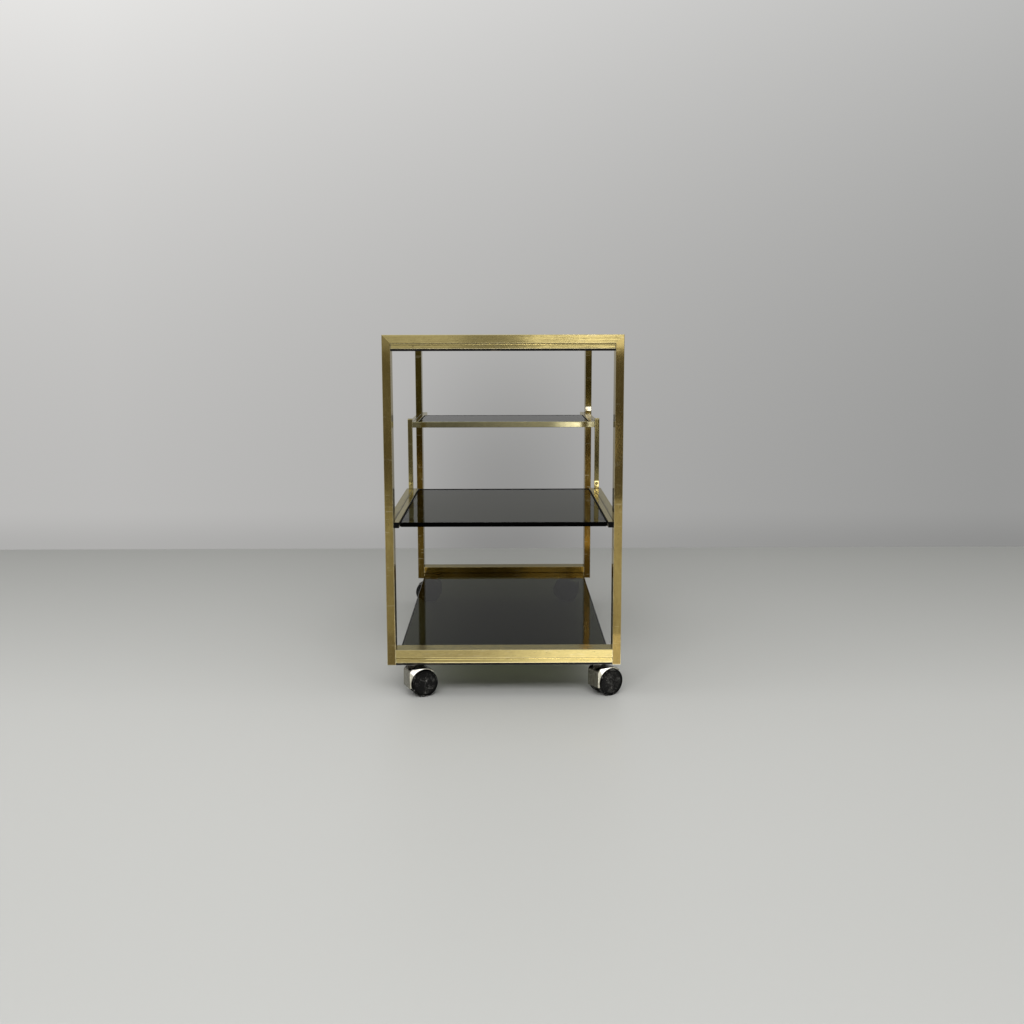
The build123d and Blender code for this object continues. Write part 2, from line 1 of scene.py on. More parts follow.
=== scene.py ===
import bpy
import json
from math import cos, radians, sin
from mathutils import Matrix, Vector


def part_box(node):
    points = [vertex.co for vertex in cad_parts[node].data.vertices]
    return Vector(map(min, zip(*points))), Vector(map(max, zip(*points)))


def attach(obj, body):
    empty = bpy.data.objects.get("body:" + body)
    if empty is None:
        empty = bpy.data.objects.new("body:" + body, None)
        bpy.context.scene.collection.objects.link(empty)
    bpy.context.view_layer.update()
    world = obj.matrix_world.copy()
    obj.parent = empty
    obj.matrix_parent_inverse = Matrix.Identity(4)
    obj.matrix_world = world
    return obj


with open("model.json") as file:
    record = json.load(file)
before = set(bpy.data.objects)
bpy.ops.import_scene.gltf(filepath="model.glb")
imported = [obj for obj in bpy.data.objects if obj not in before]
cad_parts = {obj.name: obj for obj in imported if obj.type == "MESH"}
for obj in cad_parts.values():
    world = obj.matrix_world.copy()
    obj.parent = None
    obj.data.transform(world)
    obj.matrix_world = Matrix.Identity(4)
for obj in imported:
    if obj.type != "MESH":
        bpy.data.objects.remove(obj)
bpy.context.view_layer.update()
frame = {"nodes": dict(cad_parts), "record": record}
nodes = frame["nodes"]
slotOf = {row["node"]: row["material_slot"] for row in frame["record"]["subparts"]}
print("frame loaded with", len(nodes), "pieces")


# small helpers for node trees; an input takes a link or a plain value

def fill(tree, node, inputs):
    for socket, value in inputs.items():
        if isinstance(value, bpy.types.NodeSocket):
            tree.links.new(value, node.inputs[socket])
        elif value is not None:
            node.inputs[socket].default_value = value


def addNode(tree, kind, inputs=None, **settings):
    node = tree.nodes.new(kind)
    for name, value in settings.items():
        setattr(node, name, value)
    fill(tree, node, inputs or {})
    return node


def newGroup(name, inputs, outputs):
    group = bpy.data.node_groups.new(name, "ShaderNodeTree")
    for label, value in inputs.items():
        kind = "NodeSocketFloat" if isinstance(value, float) else "NodeSocketVector"
        socket = group.interface.new_socket(label, in_out="INPUT", socket_type=kind)
        if value is not None:
            socket.default_value = value
    for label in outputs:
        group.interface.new_socket(label, in_out="OUTPUT", socket_type="NodeSocketFloat")
    start = group.nodes.new("NodeGroupInput")
    end = group.nodes.new("NodeGroupOutput")
    return group, start.outputs, end


def useGroup(tree, group, inputs):
    return addNode(tree, "ShaderNodeGroup", inputs, node_tree=group).outputs


def mathNode(tree, operation, first, second=None, clamp=False):
    node = addNode(tree, "ShaderNodeMath", {0: first, 1: second}, operation=operation, use_clamp=clamp)
    return node.outputs[0]


def times(tree, first, second):
    return mathNode(tree, "MULTIPLY", first, second)


def plus(tree, first, second, clamp=False):
    return mathNode(tree, "ADD", first, second, clamp)


def minus(tree, first, second, clamp=False):
    return mathNode(tree, "SUBTRACT", first, second, clamp)


def vectorNode(tree, operation, first, second=None, result="Vector"):
    node = addNode(tree, "ShaderNodeVectorMath", {0: first, 1: second}, operation=operation)
    return node.outputs[result]


def splitNode(tree, vector):
    return addNode(tree, "ShaderNodeSeparateXYZ", {0: vector}).outputs


def rangeNode(tree, value, fromMin, fromMax, toMin=0.0, toMax=1.0, soft=True):
    node = addNode(tree, "ShaderNodeMapRange", {
        "Value": value, "From Min": fromMin, "From Max": fromMax, "To Min": toMin, "To Max": toMax})
    node.interpolation_type = "SMOOTHSTEP" if soft else "LINEAR"
    return node.outputs["Result"]


def noiseNode(tree, place, scale, detail=2.0, roughness=0.5, distortion=0.0):
    node = addNode(tree, "ShaderNodeTexNoise", {
        "Vector": place, "Scale": scale,
        "Detail": detail, "Roughness": roughness, "Distortion": distortion})
    return node.outputs["Fac"]


def bumpNode(tree, height, distance, strength=1.0, normal=None):
    node = addNode(tree, "ShaderNodeBump", {
        "Height": height, "Distance": distance, "Strength": strength, "Normal": normal})
    return node.outputs[0]


def rgba(color):
    return (*color, 1.0) if isinstance(color, tuple) else color


def mixColor(tree, factor, first, second, blend="MIX"):
    node = addNode(tree, "ShaderNodeMix", {0: factor, 6: rgba(first), 7: rgba(second)},
                   data_type="RGBA", blend_type=blend)
    return node.outputs[2]


def depthInBox(tree, place, low, high):
    # how far inside the box a point lies, along each axis
    below = vectorNode(tree, "SUBTRACT", place, low)
    above = vectorNode(tree, "SUBTRACT", high, place)
    return splitNode(tree, vectorNode(tree, "MINIMUM", below, above))


def blankMaterial(name):
    material = bpy.data.materials.new(name)
    material.use_nodes = True
    tree = material.node_tree
    tree.nodes.clear()
    output = tree.nodes.new("ShaderNodeOutputMaterial")
    place = addNode(tree, "ShaderNodeTexCoord").outputs["Object"]
    return material, tree, output, place


def newMaterial(name):
    material, tree, output, place = blankMaterial(name)
    shader = tree.nodes.new("ShaderNodeBsdfPrincipled")
    fill(tree, output, {"Surface": shader.outputs[0]})
    return material, tree, shader, place


def onePick(table, name, otherwise=None):
    # the value of the first key that is part of the name
    return next((value for key, value in table.items() if key in name), otherwise)


def dress(name, material):
    piece = nodes[name]
    if piece.material_slots:
        for slot in piece.material_slots:
            slot.material = material
    else:
        piece.data.materials.append(material)


# effects that several finishes share

def makeGrain():
    # fine lines along the tube, stretched by a scale per axis
    group, given, end = newGroup("grainLines", {"Place": None, "Stretch": (900, 900, 12)}, ["Lines"])
    stretched = vectorNode(group, "MULTIPLY", given["Place"], given["Stretch"])
    fill(group, end, {"Lines": noiseNode(group, stretched, 1.0, 3.0, 0.6)})
    return group


def makeTarnish():
    # clouds and stains of brown patina with darker flecks, and a slow change over the whole piece
    group, given, end = newGroup(
        "tarnish",
        {"Place": None, "Shift": (0, 0, 0), "Stretch": (1, 1, 1),
         "Cloud Scale": 14.0, "Stain Scale": 110.0, "Fleck Scale": 420.0},
        ["Clouds", "Stains", "Flecks", "Broad"])
    moved = vectorNode(group, "ADD", given["Place"], given["Shift"])
    stretched = vectorNode(group, "MULTIPLY", moved, given["Stretch"])
    clouds = noiseNode(group, stretched, given["Cloud Scale"], 5.0, 0.6, 0.4)
    stains = noiseNode(group, stretched, given["Stain Scale"], 4.0, 0.6, 0.8)
    flecks = noiseNode(group, stretched, given["Fleck Scale"], 2.0, 0.7)
    broad = noiseNode(group, moved, 3.2)
    fill(group, end, {
        "Clouds": rangeNode(group, clouds, 0.38, 0.64), "Stains": rangeNode(group, stains, 0.36, 0.66),
        "Flecks": rangeNode(group, flecks, 0.60, 0.74), "Broad": rangeNode(group, broad, 0.36, 0.64)})
    return group


def makeEdgeWear():
    # 1 along the edges of a box from Low to High, fading over Width and broken up by noise
    group, given, end = newGroup(
        "edgeWear",
        {"Place": None, "Low": (0, 0, 0), "High": (1, 1, 1), "Width": 0.0012, "Round": 0.0008},
        ["Edge", "Rounding"])
    x, y, z = depthInBox(group, given["Place"], given["Low"], given["High"])
    smaller = mathNode(group, "MINIMUM", x, y)
    larger = mathNode(group, "MAXIMUM", x, y)
    second = mathNode(group, "MAXIMUM", smaller, mathNode(group, "MINIMUM", larger, z))
    broken = noiseNode(group, given["Place"], 160.0, 4.0, 0.7)
    reach = times(group, given["Width"], plus(group, broken, 0.5))
    share = mathNode(group, "DIVIDE", second, reach, clamp=True)
    inward = mathNode(group, "MAXIMUM", minus(group, given["Round"], second), 0.0)
    fall = mathNode(group, "DIVIDE", times(group, inward, inward), given["Round"])
    fill(group, end, {"Edge": minus(group, 1.0, share, clamp=True), "Rounding": times(group, fall, -0.5)})
    return group


def makeScratches():
    # thin straight marks lying in a few directions, only here and there
    group, given, end = newGroup("scratches", {"Place": None, "Density": 0.5, "Scale": 60.0}, ["Marks"])
    total = None
    for turn, shift in (((0.3, 0.2, 0.5), 0.0), ((0.9, -0.4, -0.8), 3.7), ((-0.6, 1.0, 1.9), 8.1)):
        turned = addNode(group, "ShaderNodeMapping", {
            "Vector": given["Place"], "Rotation": turn, "Location": (shift, shift, shift),
            "Scale": (1.0, 22.0, 6.0)}).outputs[0]
        thin = rangeNode(group, noiseNode(group, turned, given["Scale"], 1.0, 0.4), 0.70, 0.76)
        total = thin if total is None else mathNode(group, "MAXIMUM", total, thin)
    fill(group, end, {"Marks": mathNode(group, "MULTIPLY", total, given["Density"], clamp=True)})
    return group


def makeSmears():
    # wiped and fingered areas, as a slow swirl with finer streaks in it
    group, given, end = newGroup("smears", {"Place": None, "Scale": 9.0}, ["Smear", "Dust"])
    swirl = noiseNode(group, given["Place"], given["Scale"], 5.0, 0.6, 2.2)
    wiped = addNode(group, "ShaderNodeMapping", {
        "Vector": given["Place"], "Rotation": (0.0, 0.0, 0.7), "Scale": (4.0, 34.0, 20.0)}).outputs[0]
    streaks = noiseNode(group, wiped, 4.0, 4.0, 0.65)
    grains = noiseNode(group, given["Place"], 900.0, 2.0, 0.6)
    fill(group, end, {
        "Smear": times(group, rangeNode(group, swirl, 0.42, 0.70), rangeNode(group, streaks, 0.35, 0.72)),
        "Dust": rangeNode(group, grains, 0.66, 0.78)})
    return group


grainLines = makeGrain()
tarnish = makeTarnish()
edgeWear = makeEdgeWear()
scratches = makeScratches()
smears = makeSmears()
print("shared effects made")


# brass tube: polished and lacquered, gone olive and brown, worn bright along its edges, where the bright
# edges are partly painted highlight

brassLook = {
    "clean": (0.88, 0.735, 0.31),
    "aged": {                                       # two tones that take turns along a piece
        "front_left_post": ((0.39, 0.300, 0.104), (0.30, 0.222, 0.075)),
        "front_right_post": ((0.42, 0.310, 0.108), (0.33, 0.235, 0.078)),
        # the back posts and the back bottom rail get much darker, browner tones than the same brass in
        # front, as painted shade
        "back_left_post": ((0.150, 0.092, 0.015), (0.105, 0.060, 0.008)),
        "back_right_post": ((0.170, 0.100, 0.020), (0.115, 0.062, 0.009)),
        "riser": ((0.38, 0.320, 0.140), (0.28, 0.232, 0.095)),
        "cross_rail": ((0.50, 0.465, 0.280), (0.42, 0.390, 0.225)),
        "back_bottom": ((0.42, 0.255, 0.040), (0.22, 0.130, 0.018)),
        "": ((0.39, 0.310, 0.115), (0.33, 0.235, 0.090)),
    },
    "darkPatinaAndShade": (0.060, 0.036, 0.008),
    "speck": (0.10, 0.065, 0.03),
    "worn": (0.98, 0.90, 0.62),
    # back_bottom is aged fully, as part of its painted shade
    "patina": {"post": 1.0, "cross_rail": 1.0, "riser_": 0.05, "riser": 1.0, "lower_rail": 0.35,
               "upper_rail": 0.35, "shelf_rails": 0.30, "back_bottom": 1.0, "back_top": 0.60,
               "front_bottom": 0.12, "front_top": 0.14, "": 0.3},
    "even": ("post", "riser", "cross_rail"),        # tarnished all over
    "evenAge": (0.14, 0.94),                        # how far the age changes on a piece, and its least
    "patchyAge": (0.8, 0.45),
    "topSheen": {"front_left_post": 0.75, "front_right_post": 0.65},       # painted highlight: cleaner brass near where the front posts meet the top rail
    "topSheenHeight": (0.634, 0.612),
    "upperTint": (0.97, 1.22, 1.55),                # the painted shade on the back posts goes from brown below to olive above
    "upperHeight": (0.36, 0.50),
    "greyReflection": (0.27, 0.255, 0.180),                   # painted reflection: a dull grey tone on faces that look up
    "facingUp": (0.80, 0.95),
    "greyReflectionShare": {"top_rail": 0.25, "bottom_rail": 0.85, "lower_rail": 0.85, "upper_rail": 0.8,
               "shelf_rails": 0.8, "cross_rail": 0.4},
    "slant": {"top_rail": (0.96, 0.96, 0.90), "": (0.78, 0.75, 0.62)},  # tint seen at a low angle
    "roughness": 0.055,
    "rougher": {"age": 0.05, "lines": 0.05, "flecks": 0.15, "greyReflection": 0.10},
    "shown": {"flecks": 0.7, "scratches": 0.5, "edges": 0.7, "glint": 0.95},
    "calm": {"front_right_post": 0.12, "riser": 0.3, "cross_rail": 0.25, "back_": 0.5, "": 1.0},
    "wave": 0.0010,
    "waveScale": 7.0,
    "ripple": 0.00005,
    "line": 0.00002,
    "wearWidth": 0.0010,
    "rounding": 0.0007,
    "tarnish": {"Cloud Scale": 26.0, "Stain Scale": 150.0},
    "scratches": {"Density": 0.35, "Scale": 34.0},
    "lineStretch": {"x": (14, 1100, 1100), "y": (1100, 14, 1100), "z": (1100, 1100, 14),
                    "none": (300, 300, 300)},
    "rippleStretch": {"x": (22, 300, 300), "y": (300, 22, 300), "z": (300, 300, 22),
                      "none": (200, 200, 200)},
    "cloudStretch": {"x": (0.5, 1, 1), "y": (1, 0.5, 1), "z": (1, 1, 0.4), "none": (1, 1, 1)},
    "glints": {                                     # painted highlights: foot and top, tilt sideways and upwards, colour
        "back_right_post": (0.469, 0.480, 0.012, 0.0, (0.98, 0.92, 0.72)),
        "left_riser": (0.322, 0.336, 0.015, -0.048, (0.98, 0.86, 0.42)),
        "right_riser": (0.322, 0.339, 0.015, -0.048, (0.90, 0.76, 0.34)),
    },
    "grooves": ((0.0, 0.0012), (0.0026, 0.0033)),   # painted shade in the grooves down from the top of a bar
    "grooveShade": {"front_bottom": 0.35, "": 0.85},       # how dark the painted groove shade is
    "bead": (0.0012, 0.0026),                       # rounded strip left between them
    "beadCurve": -300.0,
    "innerTube": 0.010,                             # width of the tube beside a side rail
    "seam": 0.195,                                  # where the two meet, out from the middle
    "seamLine": (0.0014, 0.0006, 0.0, 0.95),
    "gutter": (0.05, 0.034, 0.015),                 # brown on the outer tube beside the seam
    "gutterOut": (0.0065, 0.0, 0.0, 0.75),
    "gutterIn": (-0.0015, 0.0),
}


def brassAge(tree, name, height, marks, ripples):
    # 0 for clean metal, 1 for aged, and more where it goes nearly black
    look = brassLook
    patina = onePick(look["patina"], name)
    even = name.endswith(look["even"]) or "back_bottom" in name
    spread, least = look["evenAge"] if even else look["patchyAge"]
    toned = plus(tree, times(tree, marks["Clouds"], 0.55), times(tree, marks["Broad"], 0.45))
    age = times(tree, plus(tree, times(tree, toned, spread), least), patina)
    stained = times(tree, minus(tree, marks["Stains"], 0.5), 0.4)
    streaked = times(tree, minus(tree, ripples, 0.5), 0.35)
    age = plus(tree, age, times(tree, plus(tree, stained, streaked), 0.25 + 0.45 * patina * spread))
    # painted highlight: less age near the top of the front posts
    if name in look["topSheen"]:
        age = times(tree, age, rangeNode(tree, height, *look["topSheenHeight"], look["topSheen"][name], 1.0))
    return age


def brassColor(tree, name, height, marks, age):
    look = brassLook
    aged = mixColor(tree, marks["Broad"], *onePick(look["aged"], name))
    if name in ("back_left_post", "back_right_post"):
        upper = rangeNode(tree, height, *look["upperHeight"])
        aged = mixColor(tree, upper, aged, look["upperTint"], "MULTIPLY")
    color = mixColor(tree, plus(tree, age, 0.0, clamp=True), look["clean"], aged)
    return mixColor(tree, minus(tree, age, 1.0, clamp=True), color, look["darkPatinaAndShade"])


def addGlint(tree, name, axes, front, color, relief):
    # a painted highlight: a pale bright patch on the front face beside a joint, tilted slightly to catch
    # the lights
    across, along, height = axes
    start, stop, sideways, upwards, bright = brassLook["glints"][name]
    paintedPatch = times(tree, rangeNode(tree, height, start - 0.0006, start + 0.0006),
                  rangeNode(tree, height, stop + 0.0006, stop - 0.0006))
    paintedPatch = times(tree, paintedPatch, rangeNode(tree, along, front + 0.0008, front + 0.0003))
    color = mixColor(tree, times(tree, paintedPatch, brassLook["shown"]["glint"]), color, bright)
    tilt = times(tree, mathNode(tree, "ABSOLUTE", across), sideways)
    tilt = plus(tree, tilt, times(tree, minus(tree, height, start), upwards))
    return color, plus(tree, relief, times(tree, tilt, paintedPatch))


def addGrooves(tree, name, height, top, color, relief):
    look = brassLook
    # painted shade: the grooves of the bar turn dark
    for start, stop in look["grooves"]:
        inside = times(tree, rangeNode(tree, height, top - stop - 0.0002, top - stop + 0.0001),
                       rangeNode(tree, height, top - start + 0.0002, top - start - 0.0001))
        color = mixColor(tree, times(tree, inside, onePick(look["grooveShade"], name)), color, look["darkPatinaAndShade"])
    start, stop = look["bead"]
    off = minus(tree, height, top - (start + stop) / 2)
    crown = times(tree, times(tree, off, off), look["beadCurve"])
    crown = mathNode(tree, "MAXIMUM", crown, look["beadCurve"] * ((stop - start) / 2) ** 2)
    return color, plus(tree, relief, crown)


def addSeam(tree, across, marks, color):
    look = brassLook
    beside = minus(tree, mathNode(tree, "ABSOLUTE", across), look["seam"])
    joint = mathNode(tree, "ABSOLUTE", beside)
    stain = times(tree, rangeNode(tree, beside, *look["gutterOut"]),
                  rangeNode(tree, beside, *look["gutterIn"]))
    stain = mathNode(tree, "MULTIPLY", stain, plus(tree, marks["Clouds"], 0.55), clamp=True)
    color = mixColor(tree, stain, color, look["gutter"])
    return mixColor(tree, rangeNode(tree, joint, *look["seamLine"]), color, look["darkPatinaAndShade"])


def makeBrass(name, axis, shift):
    look, shown, rougher = brassLook, brassLook["shown"], brassLook["rougher"]
    low, high = (tuple(corner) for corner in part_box(name))
    material, tree, shader, place = newMaterial(name + "Brass")
    across, along, height = splitNode(tree, place)
    sided = place
    if name.endswith("shelf_rails"):
        side = mathNode(tree, "ABSOLUTE", across)      # both tubes of the pair are worn alike
        sided = addNode(tree, "ShaderNodeCombineXYZ", {0: side, 1: along, 2: height}).outputs[0]
        low = (high[0] - look["innerTube"], low[1], low[2])
    marks = useGroup(tree, tarnish, {
        "Place": place, "Shift": shift, "Stretch": look["cloudStretch"][axis], **look["tarnish"]})
    lines = useGroup(tree, grainLines, {"Place": place, "Stretch": look["lineStretch"][axis]})["Lines"]
    ripples = useGroup(tree, grainLines, {"Place": place, "Stretch": look["rippleStretch"][axis]})["Lines"]
    edges = useGroup(tree, edgeWear, {
        "Place": sided, "Low": low, "High": high, "Width": look["wearWidth"], "Round": look["rounding"]})
    scratch = useGroup(tree, scratches, {"Place": place, **look["scratches"]})["Marks"]
    calm = onePick(look["calm"], name)                 # less than 1 is flatter and smoother

    age = brassAge(tree, name, height, marks, ripples)
    color = brassColor(tree, name, height, marks, age)
    flecks = times(tree, marks["Flecks"], times(tree, marks["Clouds"], shown["flecks"]))
    color = mixColor(tree, flecks, color, look["speck"])
    rough = plus(tree, times(tree, age, rougher["age"]), times(tree, lines, rougher["lines"]))
    rough = times(tree, plus(tree, rough, look["roughness"]), 0.4 + 0.6 * calm)
    rough = plus(tree, rough, times(tree, flecks, rougher["flecks"]), clamp=True)
    # painted reflection: faces that look up turn grey and dull, for the grey they mirror at a low angle
    greyReflectionShare = onePick(look["greyReflectionShare"], name)
    if greyReflectionShare:
        facing = addNode(tree, "ShaderNodeTexCoord").outputs["Normal"]
        upward = splitNode(tree, facing)["Z"]
        greyReflection = times(tree, rangeNode(tree, upward, *look["facingUp"]),
                     plus(tree, times(tree, marks["Stains"], -0.3 * greyReflectionShare), greyReflectionShare))
        color = mixColor(tree, greyReflection, color, look["greyReflection"])
        rough = plus(tree, rough, times(tree, greyReflection, rougher["greyReflection"]))
    color = mixColor(tree, times(tree, scratch, shown["scratches"]), color, look["worn"])
    # the edges turn near white: partly real wear, partly painted highlight
    color = mixColor(tree, times(tree, edges["Edge"], shown["edges"]), color, look["worn"])

    relief = edges["Rounding"]
    if name in look["glints"]:
        color, relief = addGlint(tree, name, (across, along, height), low[1], color, relief)
    if name.endswith("_bar"):
        color, relief = addGrooves(tree, name, height, high[2], color, relief)
    if name.endswith(("lower_rail", "upper_rail", "shelf_rails")):
        color = addSeam(tree, across, marks, color)
    normal = bumpNode(tree, relief, 1.0)
    waves = noiseNode(tree, place, look["waveScale"], 1.0)
    normal = bumpNode(tree, waves, look["wave"] * calm, normal=normal)
    normal = bumpNode(tree, ripples, look["ripple"] * calm, normal=normal)
    normal = bumpNode(tree, lines, look["line"] * calm, 0.5, normal)
    fill(tree, shader, {"Base Color": color, "Roughness": rough, "Normal": normal, "Metallic": 1.0,
                        "Specular Tint": rgba(onePick(look["slant"], name))})
    return material


def dressBrass():
    endings = {"x": ("top_rail", "bottom_rail", "top_bar", "bottom_bar", "cross_rail"),
               "y": ("lower_rail", "upper_rail", "shelf_rails"),
               "z": ("post", "riser")}
    names = [name for name in sorted(nodes) if slotOf[name] == "brass"]
    for count, name in enumerate(names, 1):
        axis = next((letter for letter, ends in endings.items() if name.endswith(ends)), "none")
        dress(name, makeBrass(name, axis, (count * 1.37, count * 0.71, count * 2.03)))
    return len(names)


print("brass pieces:", dressBrass())


# smoked glass: dark grey plates, with painted shade turning a band along their edges black

glassLook = {
    "clear": (0.90, 0.93, 0.89),
    "black": (0.0, 0.0, 0.0),
    "smeared": (0.60, 0.60, 0.56),
    "ior": {"upper_glass": 1.05, "bottom_glass": 1.094, "": 1.085},
    "roughness": 0.015,
    "rougher": {"smears": 0.05, "dust": 0.12, "scratches": 0.10},
    "smears": {"Scale": 7.0},
    "scratches": {"Density": 0.6, "Scale": 30.0},
    "tint": (0.62, 0.63, 0.545),
    "density": 430.0,
    "rim": 0.0022,
    "rimBlur": 0.0004,
}


def makeGlass(name):
    look, rougher = glassLook, glassLook["rougher"]
    material, tree, shader, place = newMaterial(name + "Smoked")
    low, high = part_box(name)
    wiped = useGroup(tree, smears, {"Place": place, **look["smears"]})
    scratch = useGroup(tree, scratches, {"Place": place, **look["scratches"]})["Marks"]
    rough = plus(tree, times(tree, wiped["Smear"], rougher["smears"]), look["roughness"])
    rough = plus(tree, rough, times(tree, wiped["Dust"], rougher["dust"]))
    rough = plus(tree, rough, times(tree, scratch, rougher["scratches"]), clamp=True)
    x, y, z = depthInBox(tree, place, low, high)
    # painted shade: a black band along the side and end edges
    rim = rangeNode(tree, mathNode(tree, "MINIMUM", x, y),
                    look["rim"] + look["rimBlur"], look["rim"] - look["rimBlur"])
    color = mixColor(tree, rim, look["clear"], look["black"])
    color = mixColor(tree, times(tree, wiped["Smear"], 0.35), color, look["smeared"], "MULTIPLY")
    fill(tree, shader, {"Base Color": color, "Roughness": rough, "Transmission Weight": 1.0,
                        "IOR": onePick(look["ior"], name)})
    inside = addNode(tree, "ShaderNodeVolumeAbsorption", {
        "Color": rgba(look["tint"]), "Density": look["density"]})
    fill(tree, tree.nodes["Material Output"], {"Volume": inside.outputs[0]})
    return material


# black parts: painted ledges, rubber, plastic plugs

paintLook = {
    "black": (0.005, 0.0045, 0.004),
    "smeared": (0.013, 0.012, 0.010),
    "scratched": (0.10, 0.08, 0.055),
    "dust": (0.07, 0.065, 0.055),
    "roughness": 0.32,
    "level": 0.2,
    "peelScale": 700.0,
    "peel": 0.00004,
}


def makeBlackPaint():
    look = paintLook
    material, tree, shader, place = newMaterial("blackPaint")
    scratch = useGroup(tree, scratches, {"Place": place, "Density": 0.8, "Scale": 40.0})["Marks"]
    wiped = useGroup(tree, smears, {"Place": place, "Scale": 14.0})
    color = mixColor(tree, wiped["Smear"], look["black"], look["smeared"])
    color = mixColor(tree, times(tree, scratch, 0.5), color, look["scratched"])
    color = mixColor(tree, times(tree, wiped["Dust"], 0.3), color, look["dust"])
    fill(tree, shader, {
        "Base Color": color, "Specular IOR Level": look["level"],
        "Roughness": plus(tree, times(tree, wiped["Smear"], 0.2), look["roughness"]),
        "Normal": bumpNode(tree, noiseNode(tree, place, look["peelScale"]), look["peel"], 0.5)})
    return material


softLook = {
    "blackRubber": {"color": (0.006, 0.006, 0.0055), "roughness": 0.62, "grain": 1400.0},
    "blackPlastic": {"color": (0.003, 0.003, 0.003), "roughness": 0.42, "grain": 2200.0},
    "dust": (0.10, 0.095, 0.085),
    "rubbed": (2.2, 0.003),                         # times the colour, plus this
    "level": 0.05,
    "pits": 0.00006,
}


def makeBlackSoft(name):
    # rubber and moulded plastic, with grain, dust and rubbed spots
    look = softLook[name]
    material, tree, shader, place = newMaterial(name)
    wiped = useGroup(tree, smears, {"Place": place, "Scale": 40.0})
    factor, lift = softLook["rubbed"]
    rubbed = tuple(part * factor + lift for part in look["color"])
    color = mixColor(tree, wiped["Smear"], look["color"], rubbed)
    color = mixColor(tree, times(tree, wiped["Dust"], 0.35), color, softLook["dust"])
    pits = addNode(tree, "ShaderNodeTexVoronoi", {"Vector": place, "Scale": look["grain"]})
    fill(tree, shader, {
        "Base Color": color, "Specular IOR Level": softLook["level"],
        "Roughness": plus(tree, times(tree, wiped["Smear"], 0.15), look["roughness"]),
        "Normal": bumpNode(tree, pits.outputs["Distance"], softLook["pits"], 0.6)})
    return material


# black strips that close the gap between an inner plate and its side tubes, open at the front

sealLook = {
    "middleSeal": {"plate": "middle_glass", "width": 0.0020, "under": 0.0075, "over": 0.0010},
    "upperSeal": {"plate": "upper_glass", "width": 0.0022, "under": 0.0075, "over": 0.0004},
    "clearance": 0.0001,
    "round": 0.0004,
}


def makeSeal(name):
    look = sealLook[name]
    low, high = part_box(look["plate"])
    reach = look["width"] + sealLook["clearance"]
    bpy.ops.object.select_all(action="DESELECT")
    middle = ((low.x + high.x) / 2, (low.y + high.y + reach) / 2, high.z - look["under"])
    bpy.ops.mesh.primitive_plane_add(size=1.0, location=middle)
    seal = bpy.context.object
    seal.name = name
    seal.scale = (high.x - low.x + 2 * reach, high.y - low.y + reach, 1.0)
    bpy.ops.object.transform_apply(location=True, rotation=True, scale=True)
    bpy.ops.object.mode_set(mode="EDIT")
    bpy.ops.mesh.select_all(action="SELECT")
    bpy.ops.mesh.inset(thickness=look["width"])
    bpy.ops.mesh.select_all(action="DESELECT")
    bpy.ops.object.mode_set(mode="OBJECT")
    for face in seal.data.polygons:
        # the plate's own area and the strip along its front go
        face.select = abs(face.center.x - middle[0]) < 0.01 and face.center.y < high.y
    bpy.ops.object.mode_set(mode="EDIT")
    bpy.ops.mesh.delete(type="FACE")
    bpy.ops.object.mode_set(mode="OBJECT")
    bpy.ops.object.modifier_add(type="SOLIDIFY")
    seal.modifiers[-1].thickness = look["under"] + look["over"]
    seal.modifiers[-1].offset = 1.0
    bpy.ops.object.modifier_apply(modifier=seal.modifiers[-1].name)
    bpy.ops.object.modifier_add(type="BEVEL")
    seal.modifiers[-1].width = sealLook["round"]
    seal.modifiers[-1].segments = 2
    bpy.ops.object.modifier_apply(modifier=seal.modifiers[-1].name)
    bpy.ops.object.shade_smooth_by_angle(angle=0.6)
    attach(seal, "cart")
    return seal


# casters: chromed hoods and scuffed black wheels

hoodLook = {
    "plate": (0.92, 0.90, 0.85),
    "dull": (0.52, 0.50, 0.43),
    "side": (0.24, 0.230, 0.172),                   # the hood's back wall, dark olive as painted reflection of the brass above it
    "sideDark": (0.10, 0.093, 0.062),
    "top": (0.030, 0.028, 0.022),                   # painted reflection of the dark underside, on faces that look up and round the stem
    "rust": (0.14, 0.09, 0.05),
    "grime": (0.16, 0.15, 0.12),
    "scratched": (0.90, 0.89, 0.85),
    "roughness": 0.10,
    "turns": {"front_left": 24.0, "front_right": 32.0, "back_left": 212.0, "back_right": 204.0},
    "slope": {"front_left": 0.9, "front_right": 2.0, "": 1.0},      # where the painted highlight ends at the upper corner
    "stems": {"front_left": (-0.169, -0.3775, 0.0), "front_right": (0.169, -0.3775, 0.0),
              "back_left": (-0.169, 0.3775, 0.0), "back_right": (0.169, 0.3775, 0.0)},
    "ringSide": (0.55, 0.85),                       # faces that look along the axle
    "ringFrom": (0.0125, 0.0145),                   # out from the middle, along the axle
    "ringBack": (0.024, 0.012),                     # the ring's painted highlight: how far back,
    "ringLow": (0.014, 0.034, 0.15, 1.0),           # how low
    "ringCorner": (0.0385, 0.0425, 0.12, 1.0),      # and how far round its upper corner
    "facingUp": (0.45, 0.85),
    "neck": (0.0500, 0.0512),                       # height where the neck begins
    "grimeHeight": 0.022,
    "tarnish": {"Cloud Scale": 60.0, "Stain Scale": 260.0, "Fleck Scale": 900.0},
    "scratches": {"Density": 0.9, "Scale": 90.0},
    "streaks": (420, 420, 60),
    "waveScale": 70.0,
    "wave": 0.0006,
}


